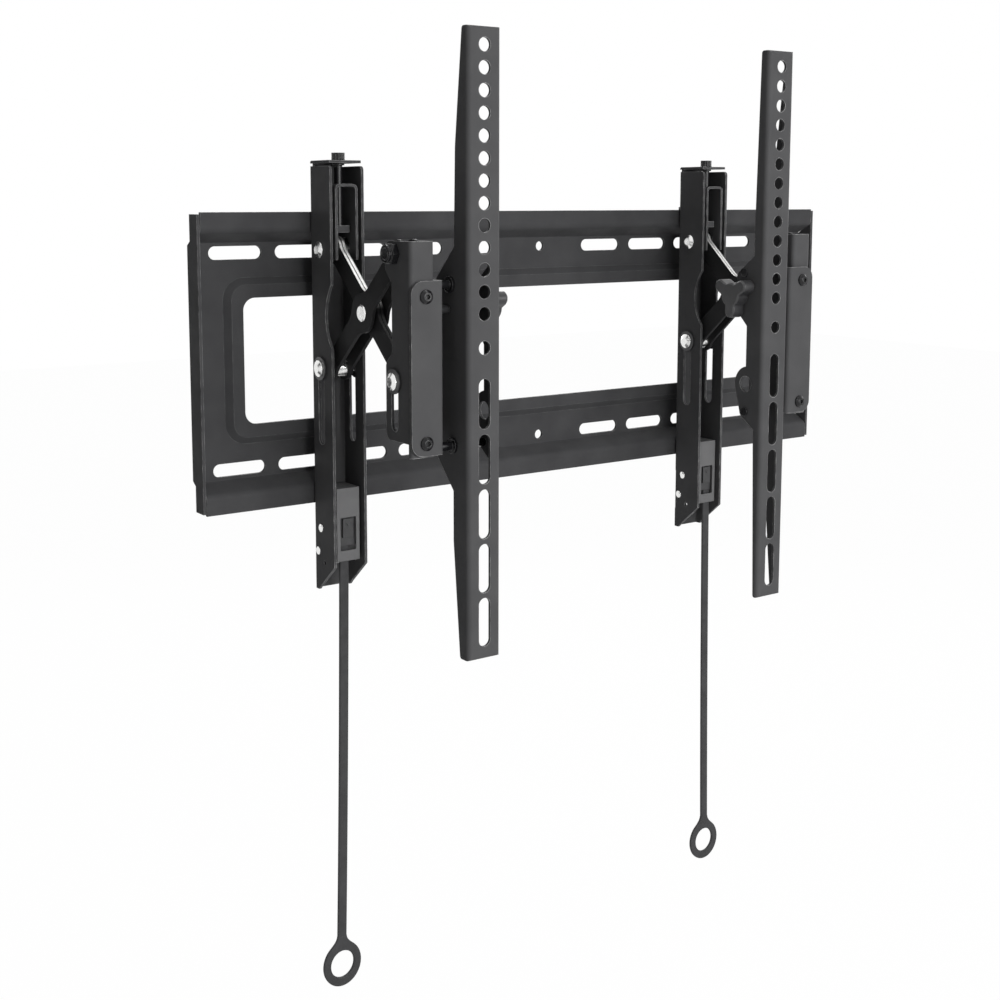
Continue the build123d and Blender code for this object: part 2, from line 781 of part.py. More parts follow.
def tilt_arm():
    depth = arm_deep
    outer = Pos(arm_offset, arm_face_y + depth / 2) * Rectangle(arm_width, depth)
    outer = fillet(outer.vertices().group_by(Axis.Y)[0], arm_bend)
    inside = depth - arm_sheet
    inner = Rectangle(arm_width - 2 * arm_sheet, inside)
    inner = Pos(arm_offset, arm_face_y + arm_sheet + inside / 2) * inner
    inner = fillet(inner.vertices().group_by(Axis.Y)[0], arm_bend - arm_sheet)
    channel = Pos(0, 0, arm_bottom) * extrude(outer - inner, arm_top - arm_bottom)

    def at(flange_depth, z):
        return (arm_face_y + flange_depth, z)

    deep_top = tilt_pivot_z + arm_deep_over
    deep_bottom = guide_z - arm_deep_under
    rise = arm_deep - arm_shoulder_depth
    outer_flange = flange_outline(
        [
            at(0, arm_bottom),
            at(0, arm_top),
            at(arm_tip_depth, arm_top),
            at(arm_upper_depth, deep_top + arm_upper_rise),
            at(arm_shoulder_depth, deep_top + rise),
            at(arm_deep, deep_top),
            at(arm_deep, deep_bottom),
            at(arm_tail_depth, deep_bottom - rise),
            at(arm_tail_depth, deep_bottom - rise - arm_tail_length),
            at(arm_end_depth, arm_bottom),
        ]
    )
    inner_top = deep_top - arm_inner_drop
    lean = arm_lobe_depth - arm_inner_depth
    upper_low = knob_z - arm_upper_lobe
    inner_flange = flange_outline(
        [
            at(0, arm_bottom),
            at(0, arm_top),
            at(arm_inner_tip, arm_top),
            at(arm_inner_depth, inner_top + 2 * lean),
            at(arm_inner_depth, inner_top + 0.8 * lean),
            at(arm_lobe_depth, inner_top),
            at(arm_lobe_depth, upper_low),
            at(arm_waist_depth, upper_low - arm_lobe_depth + arm_waist_depth),
            at(arm_waist_depth, guide_z + guide_head_d),
            at(arm_inner_tail, guide_z - guide_head_d),
            at(arm_inner_end, arm_bottom),
        ]
    )

    # Rounded lower lobe with a tail that runs down to the guide pin
    with BuildSketch() as lower_lobe:
        with Locations(at(arm_lobe_depth - arm_lobe_r, arm_lobe_z)):
            Circle(arm_lobe_r)
        with Locations((guide_y, guide_z)):
            Circle(guide_head_d / 2)
        with Locations(at(arm_inner_tail / 2, guide_z - guide_head_d)):
            Circle(arm_inner_tail / 2)
        make_hull()
    inner_flange += lower_lobe.sketch
    inner_flange -= Pos(*at(arm_lobe_hole_depth, arm_lobe_z)) * Circle(arm_lobe_hole_d / 2)

    # Both flanges carry the two pins, and the clamp stud turns in them
    pin_holes = Pos(tilt_pivot_y, tilt_pivot_z) * Circle(guide_d / 2)
    pin_holes += Pos(guide_y, guide_z) * Circle(guide_d / 2)
    pin_holes += Pos(knob_y, knob_z) * Circle(stud_d / 2 + pin_play)
    left_half = side_plate(outer_flange - pin_holes, arm_left, arm_offset)
    right_half = side_plate(inner_flange - pin_holes, arm_offset, arm_right)
    arm = channel & (left_half + right_half)

    # Screw holes and slots down the face
    cuts = Pos(arm_offset, arm_single_z) * Circle(arm_hole_d / 2)
    for index in range(arm_holes):
        cuts += Pos(arm_offset, arm_hole_top - index * arm_hole_pitch) * Circle(arm_hole_d / 2)
    for index in range(arm_slots):
        middle = arm_slot_top - arm_slot_length / 2 - index * arm_slot_pitch
        cuts += Pos(arm_offset, middle) * Rot(0, 0, 90) * SlotOverall(arm_slot_length, arm_hole_d)
    return arm - front_plate(cuts, arm_face_y, arm_face_y + arm_sheet)


def tilt_knob():
    base = arm_right + 2 * side_play
    hub = base + knob_stem
    outline = Circle(knob_hub_r)
    for index in range(3):
        lobe = Pos(knob_reach / 2, 0) * SlotOverall(knob_reach, knob_lobe_width)
        outline += Rot(0, 0, knob_first_lobe + 120 * index) * lobe
    outline = fillet(outline.vertices(), knob_blend)
    grip = extrude(Plane.YZ * outline, knob_thickness)
    grip = chamfer(grip.edges().group_by(Axis.X)[-1], knob_edge)
    grip = Pos(hub, knob_y, knob_z) * grip
    grip += rod(base, hub, knob_y, knob_z, knob_stem_d)
    return grip + rod(tab_inner - stud_end, base, knob_y, knob_z, stud_d)


def latch_cover():
    step = latch_body_top - latch_foot_height / 2
    side = cover_side
    inner = cover_side - cover_sheet
    shell = block(-side, side, cover_front, cover_back, cover_bottom, step)
    shell += block(-side, side, cover_front, latch_body_back, step, cover_top)
    hollow_front = cover_front + cover_sheet
    shell -= block(-inner, inner, hollow_front, 0, cover_bottom + cover_sheet, cover_top - cover_sheet)
    window_middle = -lip_top - cover_window_drop - cover_window_height / 2
    window = RectangleRounded(cover_window_width, cover_window_height, cover_window_corner)
    window = Pos(0, window_middle) * window
    shell -= front_plate(window, cover_front, hollow_front)
    half = strap_width / 2 + latch_play
    deep = strap_sheet / 2 + latch_play
    floor = cover_bottom + cover_sheet
    shell -= block(strap_x - half, strap_x + half, strap_y - deep, strap_y + deep, cover_bottom, floor)
    for y, z in rivet_spots:
        for left, right in ((-carriage_inner, -side), (side, carriage_inner)):
            shell += rod(left, right, y, z, rivet_boss_d)
        shell -= rod(-carriage_inner, -inner, y, z, rivet_d)
        shell -= rod(inner, carriage_inner, y, z, rivet_d)
    return shell


def latch_rivets():
    rivets = []
    outside = carriage_width / 2
    inside = cover_side - cover_sheet
    for y, z in rivet_spots:
        left = rod(-outside, -inside, y, z, rivet_d)
        right = rod(inside, outside, y, z, rivet_d)
        rivets.append(left + low_dome(-outside, y, z, rivet_head_d, rivet_head, -1))
        rivets.append(right + low_dome(outside, y, z, rivet_head_d, rivet_head, 1))
    return Compound(rivets)


def latch_slider():
    side = cover_side - cover_sheet - latch_play
    front = cover_front + cover_sheet + latch_play
    body = block(-side, side, front, latch_body_back, latch_body_bottom, latch_body_top)
    foot_bottom = latch_body_top - latch_foot_height
    tooth_back = lip_hook_y + latch_tooth_sheet
    body += block(-side, side, latch_body_back, tooth_back, foot_bottom, latch_body_top)
    body += block(-side, side, lip_hook_y, tooth_back, foot_bottom, -lip_top + latch_tooth_rise)
    half = tongue_width / 2
    body += block(-half, half, cover_front + side_play, front, tongue_top - tongue_height, tongue_top)
    pocket_top = latch_body_bottom + spring_pocket
    body -= upright(0, spring_y, latch_body_bottom, pocket_top, spring_d + 2 * latch_play)
    arrow = Polyline((-arrow_width / 2, 0), (arrow_width / 2, 0), (0, -arrow_height), close=True)
    arrow = Pos(0, tongue_top - arrow_drop) * make_face(arrow)
    return body + front_plate(arrow, cover_front - side_play, cover_front + side_play)


def latch_spring():
    low = cover_bottom + cover_sheet + spring_wire / 2
    high = latch_body_bottom + spring_pocket - spring_wire / 2
    radius = (spring_d - spring_wire) / 2
    steps = int(spring_turns * spring_facets)
    rise = (high - low) / steps
    sections = []
    for index in range(steps + 1):
        angle = 2 * math.pi * index / spring_facets
        outward = Vector(math.cos(angle), math.sin(angle), 0)
        forward = Vector(-math.sin(angle), math.cos(angle), 0)
        centre = outward * radius + Vector(0, spring_y, low + rise * index)
        wire = Plane(origin=centre, x_dir=outward, z_dir=forward)
        sections.append(wire * RegularPolygon(spring_wire / 2, 6))
    return loft(sections, ruled=True)


def pull_strap():
    """A flat strap that hangs a little aslant, along its route in (X, Z)."""
    half = strap_width / 2
    near = [(x - half, z) for x, z in strap_route]
    far = [(x + half, z) for x, z in reversed(strap_route)]
    outline = make_face(Polyline(*near, *far, close=True))
    deep = strap_sheet / 2
    return front_plate(outline, strap_y - deep, strap_y + deep)


def pull_ring():
    low_x = strap_x + strap_lean
    middle = strap_bottom - ring_neck / 2 - ring_d / 2
    outline = Pos(low_x, middle) * Circle(ring_d / 2)
    outline += Pos(low_x, strap_bottom - ring_neck) * Rectangle(strap_width, 2 * ring_neck)
    outline = fillet(outline.vertices().group_by(Axis.Y)[0], ring_blend)
    outline -= Pos(low_x, middle) * Circle(ring_hole_d / 2)
    deep = strap_sheet / 2
    return front_plate(outline, strap_y - deep, strap_y + deep)


unit_parts = (
    hook_slider,
    levelling_screw,
    carriage,
    pivot_rivet,
    pivot_spacers,
    inner_leg,
    outer_legs,
    centre_rivet,
    roller_pin,
    roller,
    slot_washers,
    front_bracket,
    front_bolt,
    lock_nut,
    bolt_spacer,
    sliding_pin,
    sliding_spacers,
    sliding_washers,
    tilt_bracket,
    tilt_screws,
    guide_pins,
    tilt_arm,
    tilt_knob,
    latch_cover,
    latch_rivets,
    latch_slider,
    latch_spring,
    pull_strap,
    pull_ring,
)

os.makedirs("parts", exist_ok=True)
export_step(wall_plate(), "parts/wall_plate.step")
for make in unit_parts:
    piece = make()
    export_step(Pos(left_unit_x, 0, 0) * piece, f"parts/left_{make.__name__}.step")
    flipped = mirror(piece, about=Plane.YZ)
    export_step(Pos(right_unit_x, 0, 0) * flipped, f"parts/right_{make.__name__}.step")
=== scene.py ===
import json
import math

import bpy
from mathutils import Matrix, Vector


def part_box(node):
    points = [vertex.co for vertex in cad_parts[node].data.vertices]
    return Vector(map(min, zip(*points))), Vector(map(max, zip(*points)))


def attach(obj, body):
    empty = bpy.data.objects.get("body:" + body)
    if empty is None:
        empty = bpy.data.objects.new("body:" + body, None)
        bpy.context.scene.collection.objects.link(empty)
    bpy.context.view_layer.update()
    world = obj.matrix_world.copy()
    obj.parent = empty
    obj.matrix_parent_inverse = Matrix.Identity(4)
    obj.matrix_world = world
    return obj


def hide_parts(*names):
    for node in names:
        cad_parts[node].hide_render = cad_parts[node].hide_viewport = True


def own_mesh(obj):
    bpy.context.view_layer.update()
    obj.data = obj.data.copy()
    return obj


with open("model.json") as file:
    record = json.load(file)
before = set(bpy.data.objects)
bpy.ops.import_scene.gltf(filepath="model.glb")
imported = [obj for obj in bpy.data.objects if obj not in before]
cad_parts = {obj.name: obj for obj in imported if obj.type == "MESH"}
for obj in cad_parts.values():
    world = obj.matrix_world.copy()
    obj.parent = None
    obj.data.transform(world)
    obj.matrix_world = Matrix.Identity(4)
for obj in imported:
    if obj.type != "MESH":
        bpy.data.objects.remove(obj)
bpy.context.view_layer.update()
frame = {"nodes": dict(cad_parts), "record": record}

# Lengths are in metres, the camera's angles in degrees and the lamps' powers in watts

# Where the two units hang along the rails, and which way each of them is handed
UNIT_X = {"left": -0.2059, "right": 0.1522}
HAND = {"left": 1, "right": -1}

# Pull strap: its route in (X, Z) from the latch down to the ring, measured from the middle of its unit
STRAP_Y = -0.041
STRAP_ROUTE = ((-0.0020, -0.13625), (-0.0039, -0.28705), (-0.0078, -0.43785))
STRAP_WIDTH = 0.0077
STRAP_SHEET = 0.0026
STRAP_ORDER = 3
STRAP_STEPS = 16

# Pull ring: width and height of its loop and of its hole, and how its neck flows into the loop
RING_LOOP = (0.032, 0.035)
RING_HOLE = (0.0198, 0.0212)
RING_ROUND = 0.0008
RING_STEPS = 48
NECK_STEPS = 8
NECK_REACH = 0.0035
SHOULDER = math.radians(52)

# Latch spring: round wire, and its turns between the latch slider and the floor of the cover
SPRING_WIRE = 0.0009
SPRING_TURNS = 5
SPRING_STEPS = 24

# Fineness of the rounding along the edges of the strap and the ring, and around the spring's wire
EDGE_STEPS = 3
WIRE_STEPS = 2

# Scissor: height at which its legs cross, and the height over which the bare edges with their painted
# highlight fade in above it
CROSSING_Z = 0.03725
BARE_GLINT_FADE = 0.010

# Bare edges with a painted highlight: share below the crossing, upward slope at which they start and are
# full, darkest tone, metal
BARE_GLINT_BELOW = 0.1
BARE_GLINT_SLOPE = (0.25, 0.45)
BARE_GLINT_DARKEST = 0.8
BARE_GLINT_METAL = 0.85

# Camera of the photograph
CAMERA_PLACE = (-0.7091, -0.9405, 0.1149)
CAMERA_TURN = -34.755
CAMERA_DIP = 7.16
CAMERA_LENS = 51.40
CAMERA_SENSOR = 36.0
CAMERA_SHIFT = (0.0186, -0.12)
CAMERA_RANGE = (0.01, 50.0)

# Stage: floor, background and the even light from all around
WHITE = (1, 1, 1, 1)
WHITE_STRENGTH = 1.0
FLOOR_Z = -0.70
FLOOR_HALF = 6.0
FLOOR_WHITE = 0.985
FLOOR_TONE = (0.80, 0.80, 0.80, 1)
FLOOR_ROUGH = 0.9
AMBIENT = 0.08

# Soft lamps: place, size and power
LAMP_AIM = (0, -0.05, 0)
LAMPS = {
    "key": ((0.1, -1.7, 0.25), (1.4, 1.1), 27.5),
    "fill": ((-1.7, -0.9, 0.8), (1.2, 1.2), 0.8),
    "top": ((0.0, -0.4, 1.9), (1.4, 1.0), 14.0),
    "back": ((0.8, 1.7, 0.6), (1.4, 1.1), 18.0),
    "right": ((1.9, 0.4, 0.5), (1.2, 1.2), 10.0),
}

# Noise: its range that carries a change, the range of a mask, and the noise's detail
NOISE_BAND = (0.3, 0.7)
MASK_BAND = (0.0, 1.0)
SMOOTH = 1.0
PLAIN = 2.0
FINE = 3.0
FINEST = 4.0

# Noise scales: clouds change the tone, the coat's highlight noise varies the painted highlight along its
# edges, sheen the roughness, and peel, lines and grain the surface
COAT_CLOUDS = 38.0
COAT_HIGHLIGHT_NOISE = 160.0
COAT_SHEEN = 90.0
COAT_PEEL = 1700.0
STEEL_PEEL = 2400.0
BARE_GLINT_CLOUDS = 260.0
ZINC_CLOUDS = 220.0
ZINC_SHEEN = 420.0
ZINC_LINES = 1500.0
PLASTIC_CLOUDS = 70.0
PLASTIC_SHEEN = 300.0
PLASTIC_GRAIN = 2200.0
RUBBER_CLOUDS = 55.0
RUBBER_SHEEN = 250.0
RUBBER_LINES = 900.0

# How far the noise of turned and drawn lines is squeezed or stretched along X, Y and Z
ZINC_STRETCH = (4.0, 0.3, 0.3)
RUBBER_STRETCH = (3.0, 3.0, 0.08)

# Bumps: strength and height
COAT_BUMP = (0.10, 0.0003)
ZINC_BUMP = (0.12, 0.0002)
PLASTIC_BUMP = (0.25, 0.0003)
RUBBER_BUMP = (0.15, 0.0003)

# Edges: radius of their rounded shading, and the cosines at which an edge's painted highlight is full and has
# ended
COAT_EDGE = 0.0009
ZINC_EDGE = 0.0004
PLASTIC_EDGE = 0.0006
EDGE_SAMPLES = 6
EDGE_COSINES = (0.80, 0.985)

# Gloss of the surfaces that mirror less than the shader's default
COAT_GLOSS = 0.03
STEEL_GLOSS = 0.3
RUBBER_GLOSS = 0.35


def grey(level, tint=0.0):
    """A grey whose blue differs by the tint."""
    return level, level, level + tint


def node_tree(name):
    material = bpy.data.materials.new(name)
    material.use_nodes = True
    nodes = material.node_tree.nodes
    links = material.node_tree.links
    return material, nodes, links, nodes["Principled BSDF"]


def noise(nodes, links, scale, detail, stretch=None):
    """Noise in the object's own space, so it keeps its size on every piece."""
    place = nodes.new("ShaderNodeTexCoord")
    texture = nodes.new("ShaderNodeTexNoise")
    texture.inputs["Scale"].default_value = scale
    texture.inputs["Detail"].default_value = detail
    source = place.outputs["Object"]
    if stretch:
        mapping = nodes.new("ShaderNodeMapping")
        mapping.inputs["Scale"].default_value = stretch
        links.new(source, mapping.inputs["Vector"])
        source = mapping.outputs["Vector"]
    links.new(source, texture.inputs["Vector"])
    return texture.outputs["Fac"]


def spread(nodes, links, source, low, high, band=NOISE_BAND):
    """Spreads a value's band over the range from low to high."""
    node = nodes.new("ShaderNodeMapRange")
    node.inputs["From Min"].default_value = band[0]
    node.inputs["From Max"].default_value = band[1]
    node.inputs["To Min"].default_value = low
    node.inputs["To Max"].default_value = high
    links.new(source, node.inputs["Value"])
    return node.outputs["Result"]


def tones(nodes, links, source, dark, light):
    """Turns noise into tones between dark and light."""
    ramp = nodes.new("ShaderNodeValToRGB")
    for element, position, colour in zip(ramp.color_ramp.elements, NOISE_BAND, (dark, light)):
        element.position = position
        element.color = (*colour, 1)
    links.new(source, ramp.inputs["Fac"])
    return ramp.outputs["Color"]


def rounded(nodes, radius):
    """Rounded edge shading."""
    bevel = nodes.new("ShaderNodeBevel")
    bevel.samples = EDGE_SAMPLES
    bevel.inputs["Radius"].default_value = radius
    return bevel.outputs["Normal"]


def edge_mask(nodes, links, normal):
    """1 along the edges, where the rounded shading departs from the flat faces."""
    geometry = nodes.new("ShaderNodeNewGeometry")
    dot = nodes.new("ShaderNodeVectorMath")
    dot.operation = "DOT_PRODUCT"
    links.new(normal, dot.inputs[0])
    links.new(geometry.outputs["Normal"], dot.inputs[1])
    return spread(nodes, links, dot.outputs["Value"], 1.0, 0.0, EDGE_COSINES)


def bump(nodes, links, source, strength, depth, normal=None):
    node = nodes.new("ShaderNodeBump")
    node.inputs["Strength"].default_value = strength
    node.inputs["Distance"].default_value = depth
    links.new(source, node.inputs["Height"])
    if normal is not None:
        links.new(normal, node.inputs["Normal"])
    return node.outputs["Normal"]


def mix_colours(nodes, links, factor, first, second):
    node = nodes.new("ShaderNodeMix")
    node.data_type = "RGBA"
    links.new(factor, node.inputs["Factor"])
    links.new(first, node.inputs["A"])
    links.new(second, node.inputs["B"])
    return node.outputs["Result"]


def combine(nodes, links, operation, first, second):
    """One number worked out from two others."""
    node = nodes.new("ShaderNodeMath")
    node.operation = operation
    links.new(first, node.inputs[0])
    links.new(second, node.inputs[1])
    return node.outputs["Value"]


def upward(nodes, links, source):
    """The Z part of a place or a direction."""
    parts = nodes.new("ShaderNodeSeparateXYZ")
    links.new(source, parts.inputs["Vector"])
    return parts.outputs["Z"]


def coated_metal(name, dark, light, edge, rough, peel=COAT_PEEL, gloss=COAT_GLOSS):
    """Powder coat: fine orange peel, slightly uneven tone, and a painted highlight along the edges, in the
    edge colour.
    """
    material, nodes, links, shader = node_tree(name)
    normal = rounded(nodes, COAT_EDGE)
    mask = edge_mask(nodes, links, normal)
    body = tones(nodes, links, noise(nodes, links, COAT_CLOUDS, FINE), dark, light)
    # Painted highlight: along the edges the colour runs from light up to the lighter edge colour
    edge_highlight = tones(nodes, links, noise(nodes, links, COAT_HIGHLIGHT_NOISE, FINE), light, edge)
    links.new(mix_colours(nodes, links, mask, body, edge_highlight), shader.inputs["Base Color"])
    sheen = noise(nodes, links, COAT_SHEEN, PLAIN)
    links.new(spread(nodes, links, sheen, *rough), shader.inputs["Roughness"])
    surface = noise(nodes, links, peel, PLAIN)
    links.new(bump(nodes, links, surface, *COAT_BUMP, normal), shader.inputs["Normal"])
    shader.inputs["Specular IOR Level"].default_value = gloss
    return material


def sheared_plate(name, dark, light, bare_glint, rough):
    """Coated on its flat sides, with bare metal on the sheared edges that face up: partly the bare edge,
    partly a painted highlight where they catch the light from above.
    """
    material = coated_metal(name, dark, light, light, rough)
    nodes = material.node_tree.nodes
    links = material.node_tree.links
    shader = nodes["Principled BSDF"]
    coat = shader.inputs["Base Color"].links[0].from_socket
    place = nodes.new("ShaderNodeTexCoord")
    # Painted highlight: the bare metal goes only on edges that face up, and fades in above the crossing,
    # where the light from above catches them
    slope = upward(nodes, links, place.outputs["Normal"])
    facing = spread(nodes, links, slope, 0.0, 1.0, BARE_GLINT_SLOPE)
    height = upward(nodes, links, place.outputs["Object"])
    upper = spread(nodes, links, height, BARE_GLINT_BELOW, 1.0, (CROSSING_Z, CROSSING_Z + BARE_GLINT_FADE))
    edge = combine(nodes, links, "MULTIPLY", facing, upper)
    shade = tuple(BARE_GLINT_DARKEST * tone for tone in bare_glint)
    metal = tones(nodes, links, noise(nodes, links, BARE_GLINT_CLOUDS, FINE), shade, bare_glint)
    links.new(mix_colours(nodes, links, edge, coat, metal), shader.inputs["Base Color"])
    links.new(spread(nodes, links, edge, 0.0, BARE_GLINT_METAL, MASK_BAND), shader.inputs["Metallic"])
    return material


def plated_metal(name, dark, light, rough):
    """Bright metal: faint turned lines and small dull patches."""
    material, nodes, links, shader = node_tree(name)
    normal = rounded(nodes, ZINC_EDGE)
    body = tones(nodes, links, noise(nodes, links, ZINC_CLOUDS, FINEST), dark, light)
    links.new(body, shader.inputs["Base Color"])
    shader.inputs["Metallic"].default_value = 1.0
    patches = noise(nodes, links, ZINC_SHEEN, FINE)
    links.new(spread(nodes, links, patches, *rough), shader.inputs["Roughness"])
    lines = noise(nodes, links, ZINC_LINES, SMOOTH, ZINC_STRETCH)
    links.new(bump(nodes, links, lines, *ZINC_BUMP, normal), shader.inputs["Normal"])
    return material


def moulded_plastic(name, dark, light, rough):
    """Dark moulding with a fine spark-eroded grain."""
    material, nodes, links, shader = node_tree(name)
    normal = rounded(nodes, PLASTIC_EDGE)
    body = tones(nodes, links, noise(nodes, links, PLASTIC_CLOUDS, FINE), dark, light)
    links.new(body, shader.inputs["Base Color"])
    sheen = noise(nodes, links, PLASTIC_SHEEN, PLAIN)
    links.new(spread(nodes, links, sheen, *rough), shader.inputs["Roughness"])
    grain = noise(nodes, links, PLASTIC_GRAIN, FINE)
    links.new(bump(nodes, links, grain, *PLASTIC_BUMP, normal), shader.inputs["Normal"])
    return material


def soft_rubber(name, dark, light, rough):
    """Matt strap rubber: dusty tone, very fine lengthwise drawing lines."""
    material, nodes, links, shader = node_tree(name)
    body = tones(nodes, links, noise(nodes, links, RUBBER_CLOUDS, FINEST), dark, light)
    links.new(body, shader.inputs["Base Color"])
    sheen = noise(nodes, links, RUBBER_SHEEN, PLAIN)
    links.new(spread(nodes, links, sheen, *rough), shader.inputs["Roughness"])
    lines = noise(nodes, links, RUBBER_LINES, PLAIN, RUBBER_STRETCH)
    links.new(bump(nodes, links, lines, *RUBBER_BUMP), shader.inputs["Normal"])
    shader.inputs["Specular IOR Level"].default_value = RUBBER_GLOSS
    return material


# Materials of the record's slots; edge is the colour of the painted highlight along a coat's edges
MATERIALS = {
    "powder_coat": coated_metal(
        "powder_coat",
        dark=grey(0.073, 0.002),
        light=grey(0.086, 0.002),
        edge=grey(0.62),
        rough=(0.40, 0.52),
    ),
    # Painted shade: a darker copy of the powder coat for the wall plate, which lies in shade behind the units
    "plate_coat": coated_metal(
        "plate_coat",
        dark=grey(0.050, 0.002),
        light=grey(0.062, 0.002),
        edge=grey(0.34),
        rough=(0.42, 0.54),
    ),
    "black_steel": coated_metal(
        "black_steel",
        dark=grey(0.006, 0.001),
        light=grey(0.012, 0.001),
        edge=grey(0.05),
        rough=(0.10, 0.20),
        peel=STEEL_PEEL,
        gloss=STEEL_GLOSS,
    ),
    "zinc": plated_metal(
        "zinc",
        dark=grey(0.78, -0.01),
        light=grey(0.88, -0.01),
        rough=(0.16, 0.28),
    ),
    "spring_steel": plated_metal(
        "spring_steel",
        dark=grey(0.40, -0.01),
        light=grey(0.55, -0.01),
        rough=(0.28, 0.40),
    ),
    "black_plastic": moulded_plastic(
        "black_plastic",
        dark=grey(0.024, 0.001),
        light=grey(0.034, 0.002),
        rough=(0.28, 0.40),
    ),
    "strap_rubber": soft_rubber(
        "strap_rubber",
        dark=grey(0.027, 0.001),
        light=grey(0.040, 0.002),
        rough=(0.55, 0.72),
    ),
}

# Pieces that look different from the rest of their slot; the scissor legs get darker copies of the powder
# coat as painted shade
OWN_LOOK = {
    # Painted shade: darker copy of the powder coat, with bare edges that carry a painted highlight
    "inner_leg": sheared_plate(
        "inner_leg_plate",
        dark=grey(0.030, 0.001),
        light=grey(0.042, 0.001),
        bare_glint=grey(0.70, -0.01),
        rough=(0.36, 0.48),
    ),
    # Painted shade: darker copy of the powder coat; its edge colour is a painted highlight
    "outer_legs": coated_metal(
        "outer_leg_plate",
        dark=grey(0.030, 0.001),
        light=grey(0.042, 0.001),
        edge=grey(0.12),
        rough=(0.36, 0.48),
    ),
    "latch_cover": moulded_plastic(
        "cover_plastic",
        dark=grey(0.100, 0.002),
        light=grey(0.118, 0.002),
        rough=(0.42, 0.54),
    ),
    "guide_pins": MATERIALS["black_steel"],
}


def dress_nodes():
    """Gives every CAD node its own look, or else the material of its slot in the record."""
    for part in frame["record"]["subparts"]:
        node = part["node"]
        piece = node.split("_", 1)[1]
        data = frame["nodes"][node].data
        data.materials.clear()
        data.materials.append(OWN_LOOK.get(piece, MATERIALS[part["material_slot"]]))


def new_curve(name, dimensions):
    curve = bpy.data.curves.new(name, "CURVE")
    curve.dimensions = dimensions
    return curve


def add_line(curve, points):
    """A line of straight runs through the points."""
    spline = curve.splines.new("POLY")
    spline.points.add(len(points) - 1)
    for point, place in zip(spline.points, points):
        point.co = (*place, 1.0)
    return spline


def add_outline(curve, points):
    """A closed outline through flat points."""
    spline = add_line(curve, [(x, z, 0.0) for x, z in points])
    spline.use_cyclic_u = True


def show(thing):
    bpy.context.scene.collection.objects.link(thing)


def mesh_piece(name, curve, slot):
    """A piece whose mesh is made from a curve, in the material of a slot."""
    source = bpy.data.objects.new(curve.name, curve)
    piece = bpy.data.objects.new(name, bpy.data.meshes.new_from_object(source))
    bpy.data.objects.remove(source)
    show(piece)
    piece.data.materials.clear()
    piece.data.materials.append(MATERIALS[slot])
    return piece


def ellipse_point(size, angle):
    return size[0] / 2 * math.cos(angle), size[1] / 2 * math.sin(angle)


def neck_points(top):
    """Right side of the neck: from the strap's edge, in a curve that meets the loop without a corner."""
    edge = STRAP_WIDTH / 2
    end_x, end_z = ellipse_point(RING_LOOP, SHOULDER)
    run_x = RING_LOOP[0] * math.sin(SHOULDER)
    run_z = -RING_LOOP[1] * math.cos(SHOULDER)
    length = math.hypot(run_x, run_z)
    lead_x = end_x - NECK_REACH * run_x / length
    lead_z = end_z - NECK_REACH * run_z / length
    points = []
    for step in range(NECK_STEPS):
        t = step / NECK_STEPS
        # Weights of the four points that steer a cubic curve
        weights = ((1 - t) ** 3, 3 * t * (1 - t) ** 2, 3 * t * t * (1 - t), t ** 3)
        x = sum(w * v for w, v in zip(weights, (edge, edge, lead_x, end_x)))
        z = sum(w * v for w, v in zip(weights, (top, top - NECK_REACH, lead_z, end_z)))
        points.append((x, z))
    return points


def pull_ring(side):
    """The ring at the strap's end: a flat loop with rounded edges, whose neck flows out of the strap."""
    node = f"{side}_pull_ring"
    low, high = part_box(node)
    middle = ((low.x + high.x) / 2, (low.y + high.y) / 2, low.z + RING_LOOP[1] / 2)
    right = neck_points(STRAP_ROUTE[-1][1] - middle[2])
    left = [(-x, z) for x, z in reversed(right)]
    sweep = math.pi + 2 * SHOULDER
    loop_angles = [SHOULDER - sweep * step / RING_STEPS for step in range(RING_STEPS + 1)]
    hole_angles = [2 * math.pi * step / RING_STEPS for step in range(RING_STEPS)]
    curve = new_curve(f"{node}_outline", "2D")
    curve.fill_mode = "BOTH"
    curve.extrude = (high.y - low.y) / 2 - RING_ROUND
    curve.bevel_depth = RING_ROUND
    curve.bevel_resolution = EDGE_STEPS
    curve.offset = -RING_ROUND
    add_outline(curve, right + [ellipse_point(RING_LOOP, angle) for angle in loop_angles] + left)
    add_outline(curve, [ellipse_point(RING_HOLE, angle) for angle in hole_angles])
    ring = mesh_piece(f"{side}_strap_ring", curve, "strap_rubber")
    ring.data.transform(Matrix.Translation(middle) @ Matrix.Rotation(math.radians(90), 4, "X"))
    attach(ring, f"{side}_latch")
    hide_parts(node)
    return ring


def pull_strap(side, ring):
    """The flat strap that hangs from the latch slider down to its ring."""
    curve = new_curve(f"{side}_strap_run", "3D")
    curve.twist_mode = "MINIMUM"
    route = [(UNIT_X[side] + HAND[side] * x, STRAP_Y, z) for x, z in STRAP_ROUTE]
    spline = curve.splines.new("NURBS")
    spline.points.add(len(route) - 1)
    for point, place in zip(spline.points, route):
        point.co = (*place, 1.0)
    spline.order_u = STRAP_ORDER
    spline.use_endpoint_u = True
    spline.resolution_u = STRAP_STEPS
    curve.extrude = STRAP_WIDTH / 2 - STRAP_SHEET / 2
    curve.bevel_depth = STRAP_SHEET / 2
    curve.bevel_resolution = EDGE_STEPS
    curve.use_fill_caps = True
    strap = bpy.data.objects.new(f"{side}_strap_run", curve)
    show(strap)
    curve.materials.append(MATERIALS["strap_rubber"])
    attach(strap, f"{side}_latch")
    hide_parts(f"{side}_pull_strap")


